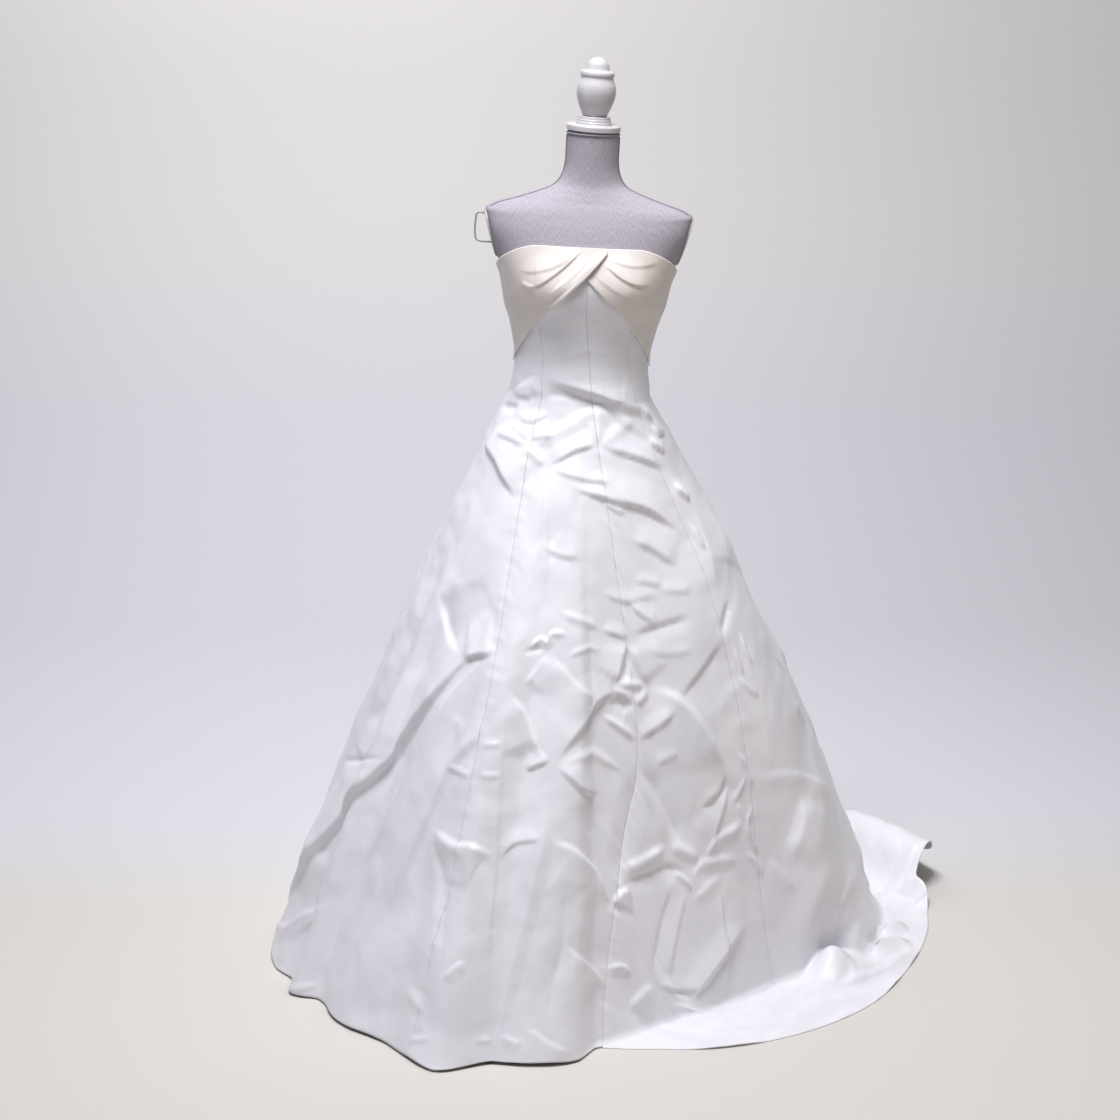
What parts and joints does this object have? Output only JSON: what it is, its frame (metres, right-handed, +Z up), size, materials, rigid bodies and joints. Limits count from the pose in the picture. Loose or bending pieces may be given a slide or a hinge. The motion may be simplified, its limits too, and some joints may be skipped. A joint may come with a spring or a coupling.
{
  "type": "wedding dress on a dress form",
  "caption": "Strapless full-length A-line gown in heavy satin with crossed bust drapes and a swept train, standing on a limbless dress form.",
  "frame": {"origin": "centre of the underside of the dress form's base disc, on the floor", "axes": "+Z up, -Y towards the front of the gown, +X towards the viewer's right when facing the front"},
  "size_m": [1.2877, 1.6277, 1.6398],
  "materials": {
    "satin": "heavy ivory duchess satin, soft sheen",
    "form_linen": "matt lavender-grey linen cover with upright slubs",
    "painted_wood": "turned wood in white gloss paint",
    "painted_metal": "white enamel",
    "zip_metal": "nickel plate"
  },
  "bodies": {
    "dress": {"side_front_left": "satin", "centre_front_left": "satin", "centre_front_right": "satin", "side_front_right": "satin", "side_back_right": "satin", "centre_back_right": "satin", "centre_back_left": "satin", "side_back_left": "satin", "drape_left": "satin", "drape_right": "satin", "zip_slider": "zip_metal", "torso": "form_linen", "neck_cap": "painted_wood", "finial": "painted_wood", "arm_plate_left": "painted_metal", "arm_plate_right": "painted_metal", "arm_loop": "painted_metal", "pole": "painted_metal", "base_disc": "painted_metal"},
    "zip_pull": {"zip_pull": "zip_metal"}
  },
  "joints": [
    {"name": "zip_pull_swing", "type": "hinge", "parent": "dress", "child": "zip_pull", "pos_m": [0.02544, 0.10346, 1.25008], "axis": [0.9988, 0, -0.0489], "range_deg": [0, 150]}
  ]
}
